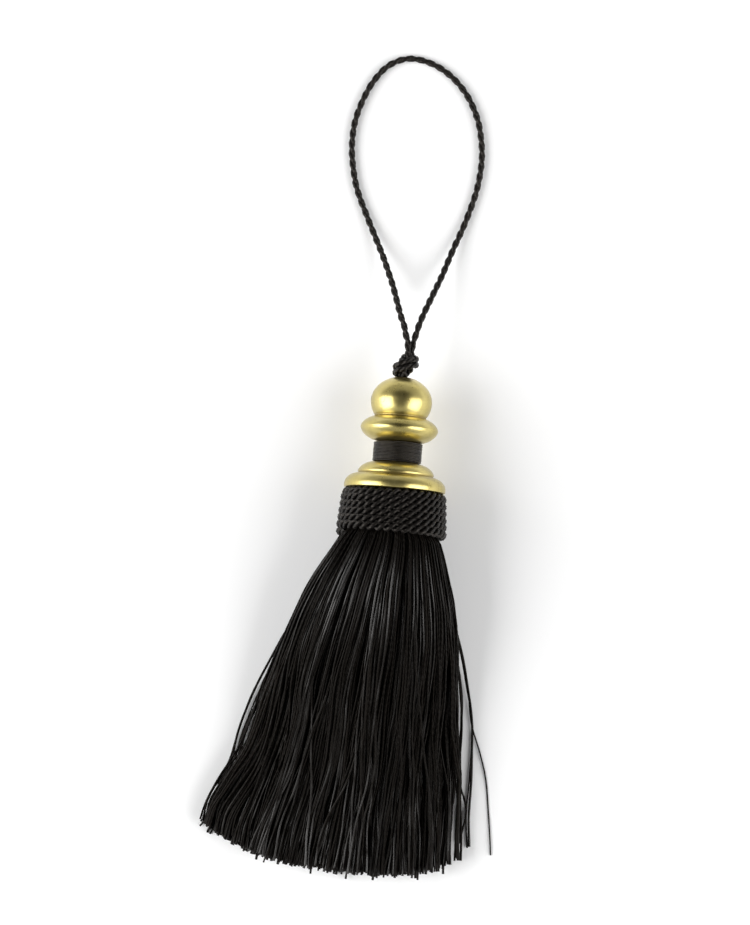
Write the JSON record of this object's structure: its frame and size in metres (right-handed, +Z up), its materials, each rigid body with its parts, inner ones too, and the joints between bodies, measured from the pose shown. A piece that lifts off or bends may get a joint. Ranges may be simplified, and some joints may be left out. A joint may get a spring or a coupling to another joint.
{
  "type": "hanging tassel",
  "caption": "Tassel with a turned gold-painted head, thread-wound neck, cord-wound collar, spread black yarn skirt and a knotted twisted-cord loop, laid flat.",
  "frame": {"origin": "on the table, under the middle of the box of the head, collar and skirt, without the knot and the loop cord", "axes": "+Y along the head's axis towards the loop, +X to the right seen from above with the loop away from the viewer, +Z up"},
  "size_m": [0.0639, 0.1971, 0.0253],
  "materials": {
    "gold_paint": "glossy metallic gold paint on turned wood",
    "black_thread": "glossy wound viscose thread",
    "black_cord": "two-ply twisted viscose cord",
    "black_yarn": "loose cut viscose yarns with a silky sheen"
  },
  "bodies": {
    "root": {"turned_head": "gold_paint", "neck_winding": "black_thread", "collar_winding": "black_cord", "knot": "black_cord", "loop_cord": "black_cord", "skirt": "black_yarn"}
  },
  "joints": []
}
